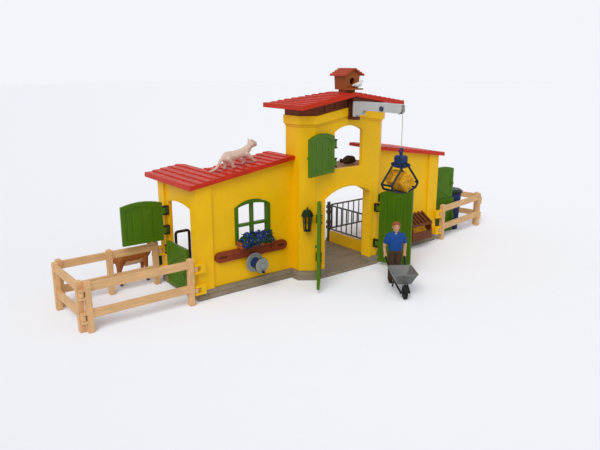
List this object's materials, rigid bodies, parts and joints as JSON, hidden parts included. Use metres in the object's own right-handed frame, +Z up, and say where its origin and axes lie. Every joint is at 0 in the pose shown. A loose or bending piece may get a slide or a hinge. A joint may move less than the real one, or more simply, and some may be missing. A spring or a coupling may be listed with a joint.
{
  "type": "toy farm playset",
  "caption": "Toy barn with a tower between two stable wings, swinging doors and gates, hinged pen fences and a hay crane with a grab, with farm animals and a wheelbarrow.",
  "frame": {"origin": "on the ground under the tower, on its middle plane and in line with the front walls of the wings", "axes": "+X to the right along the front, +Y to the open back, +Z up"},
  "size_m": [0.7882, 0.3274, 0.2996],
  "materials": {
    "yellow_plastic": "satin moulded plastic",
    "red_plastic": "satin moulded plastic",
    "green_plastic": "satin moulded plastic",
    "stone_plastic": "matte stone-look plastic",
    "brown_plastic": "matte wood-look plastic",
    "dark_brown_plastic": "matte plastic",
    "tan_plastic": "matte wood-look plastic",
    "dark_grey_plastic": "satin plastic",
    "light_grey_plastic": "satin plastic",
    "blue_plastic": "satin plastic",
    "navy_plastic": "satin plastic",
    "black_plastic": "satin plastic",
    "straw_plastic": "matte straw-look plastic",
    "terracotta_plastic": "matte plastic",
    "blossom_plastic": "painted soft plastic",
    "rust_plastic": "matte wood-look plastic",
    "dark_green_plastic": "satin plastic",
    "cream_paint": "painted soft plastic",
    "white_paint": "painted soft plastic",
    "calf_paint": "painted soft plastic",
    "sack_paint": "painted soft plastic",
    "figure_paint": "painted soft plastic",
    "cord_white": "thin twisted cord"
  },
  "bodies": {
    "building": {"tower_base": "stone_plastic", "tower_shell": "yellow_plastic", "loft_floor": "brown_plastic", "gable_truss": "brown_plastic", "tower_roof": "red_plastic", "left_wing_base": "stone_plastic", "left_wing_shell": "yellow_plastic", "left_wing_roof": "red_plastic", "right_wing_base": "stone_plastic", "right_wing_shell": "yellow_plastic", "right_wing_roof": "red_plastic", "window_frame": "green_plastic", "flower_box": "terracotta_plastic", "flowers": "blossom_plastic", "coat_rail": "rust_plastic", "reel_bracket": "light_grey_plastic", "hinge_brackets": "dark_brown_plastic", "stall_post": "dark_grey_plastic", "lanterns": "dark_green_plastic", "crane_bracket": "brown_plastic", "birdhouse_body": "brown_plastic", "birdhouse_roof": "red_plastic", "dove": "white_paint", "hay_rack": "rust_plastic", "rack_hay": "straw_plastic", "feed_barrel": "navy_plastic", "barrel_lid": "black_plastic", "bucket": "dark_green_plastic", "tie_hoop": "dark_brown_plastic", "grain_sack": "sack_paint", "calf": "calf_paint", "cat": "cream_paint", "farmer": "figure_paint", "barrow_tub": "dark_grey_plastic", "barrow_frame": "black_plastic"},
    "left_door": {"left_door": "green_plastic"},
    "right_door": {"right_door": "green_plastic"},
    "loft_shutter": {"loft_shutter": "green_plastic"},
    "left_lower_leaf": {"left_lower_leaf": "green_plastic"},
    "left_upper_leaf": {"left_upper_leaf": "green_plastic"},
    "right_lower_leaf": {"right_lower_leaf": "green_plastic"},
    "right_upper_leaf": {"right_upper_leaf": "green_plastic"},
    "stall_side_gate": {"stall_side_gate": "dark_grey_plastic"},
    "stall_back_gate": {"stall_back_gate": "dark_grey_plastic"},
    "crane": {"crane_arm": "light_grey_plastic", "jib_cord": "cord_white"},
    "sheave": {"crane_pulley": "dark_grey_plastic"},
    "winch": {"winch_drum": "navy_plastic"},
    "grab": {"hoist_cord": "cord_white", "grab_head": "blue_plastic", "hay_bale": "straw_plastic"},
    "right_jaw": {"grab_right_jaw": "black_plastic"},
    "left_jaw": {"grab_left_jaw": "black_plastic"},
    "reel": {"reel_drum": "light_grey_plastic"},
    "wheel": {"barrow_wheel": "black_plastic"},
    "left_front_fence": {"left_front_fence": "tan_plastic"},
    "left_side_fence": {"left_side_fence": "tan_plastic"},
    "left_back_fence": {"left_back_fence": "tan_plastic"},
    "right_front_fence": {"right_front_fence": "tan_plastic"},
    "right_side_fence": {"right_side_fence": "tan_plastic"}
  },
  "joints": [
    {"name": "left_door_hinge", "type": "hinge", "parent": "building", "child": "left_door", "pos_m": [-0.0575, -0.0365, 0], "axis": [0, 0, -1], "range_deg": [-132, 18]},
    {"name": "right_door_hinge", "type": "hinge", "parent": "building", "child": "right_door", "pos_m": [0.0575, -0.0365, 0], "axis": [0, 0, 1], "range_deg": [-108, 42]},
    {"name": "shutter_hinge", "type": "hinge", "parent": "building", "child": "loft_shutter", "pos_m": [-0.031, -0.0365, 0], "axis": [0, 0, -1], "range_deg": [-165, 5]},
    {"name": "left_lower_hinge", "type": "hinge", "parent": "building", "child": "left_lower_leaf", "pos_m": [-0.2395, 0.0815, 0], "axis": [0, 0, -1], "range_deg": [0, 90]},
    {"name": "left_upper_hinge", "type": "hinge", "parent": "building", "child": "left_upper_leaf", "pos_m": [-0.2395, 0.0815, 0], "axis": [0, 0, -1], "range_deg": [-93, 2]},
    {"name": "right_lower_hinge", "type": "hinge", "parent": "building", "child": "right_lower_leaf", "pos_m": [0.2395, 0.0175, 0], "axis": [0, 0, -1], "range_deg": [-96, 1]},
    {"name": "right_upper_hinge", "type": "hinge", "parent": "building", "child": "right_upper_leaf", "pos_m": [0.2395, 0.0175, 0], "axis": [0, 0, -1], "range_deg": [-92, 3]},
    {"name": "side_gate_hinge", "type": "hinge", "parent": "building", "child": "stall_side_gate", "pos_m": [0.077, 0.1, 0], "axis": [0, 0, -1], "range_deg": [0, 80]},
    {"name": "back_gate_hinge", "type": "hinge", "parent": "building", "child": "stall_back_gate", "pos_m": [0.077, 0.1, 0], "axis": [0, 0, 1], "range_deg": [0, 80]},
    {"name": "crane_swing", "type": "hinge", "parent": "building", "child": "crane", "pos_m": [0, -0.044, 0], "axis": [0, 0, 1], "range_deg": [-45, 70]},
    {"name": "hoist", "type": "slide", "parent": "crane", "child": "grab", "axis": [0, 0, 1], "range_m": [-0.045, 0.035], "deforming": ["hoist_cord"]},
    {"name": "right_jaw_hinge", "type": "hinge", "parent": "grab", "child": "right_jaw", "pos_m": [0.004, -0.13275, 0.1765], "axis": [0, -1, 0], "range_deg": [0, 25]},
    {"name": "left_jaw_hinge", "type": "hinge", "parent": "grab", "child": "left_jaw", "pos_m": [-0.004, -0.13275, 0.1765], "axis": [0, 1, 0], "range_deg": [0, 25]},
    {"name": "sheave_spin", "type": "hinge", "parent": "crane", "child": "sheave", "pos_m": [0, -0.1275, 0.2473], "axis": [1, 0, 0], "continuous": true},
    {"name": "winch_spin", "type": "hinge", "parent": "crane", "child": "winch", "pos_m": [0, -0.09911, 0.2473], "axis": [1, 0, 0], "continuous": true},
    {"name": "reel_spin", "type": "hinge", "parent": "building", "child": "reel", "pos_m": [-0.1515, 0, 0.039], "axis": [0, -1, 0], "continuous": true},
    {"name": "wheel_spin", "type": "hinge", "parent": "building", "child": "wheel", "pos_m": [-0.01491, -0.16372, 0.0095], "axis": [0.829, -0.5592, 0], "continuous": true},
    {"name": "left_front_fence_hinge", "type": "hinge", "parent": "building", "child": "left_front_fence", "pos_m": [-0.2435, -0.008, 0], "axis": [0, 0, 1], "range_deg": [0, 50]},
    {"name": "left_side_fence_hinge", "type": "hinge", "parent": "left_front_fence", "child": "left_side_fence", "pos_m": [-0.3915, -0.008, 0], "axis": [0, 0, 1], "range_deg": [0, 20]},
    {"name": "left_back_fence_hinge", "type": "hinge", "parent": "building", "child": "left_back_fence", "pos_m": [-0.2435, 0.095, 0], "axis": [0, 0, -1], "range_deg": [-20, 0]},
    {"name": "right_front_fence_hinge", "type": "hinge", "parent": "building", "child": "right_front_fence", "pos_m": [0.2435, -0.008, 0], "axis": [0, 0, -1], "range_deg": [0, 45]},
    {"name": "right_side_fence_hinge", "type": "hinge", "parent": "right_front_fence", "child": "right_side_fence", "pos_m": [0.38968, 0.01515, 0], "axis": [0, 0, -1], "range_deg": [0, 20]}
  ],
  "couplings": [
    {"joint": "left_jaw_hinge", "follows": "right_jaw_hinge", "ratio": 1},
    {"joint": "sheave_spin", "follows": "hoist", "rad_per_m": -190.48},
    {"joint": "winch_spin", "follows": "hoist", "rad_per_m": -273.97}
  ]
}
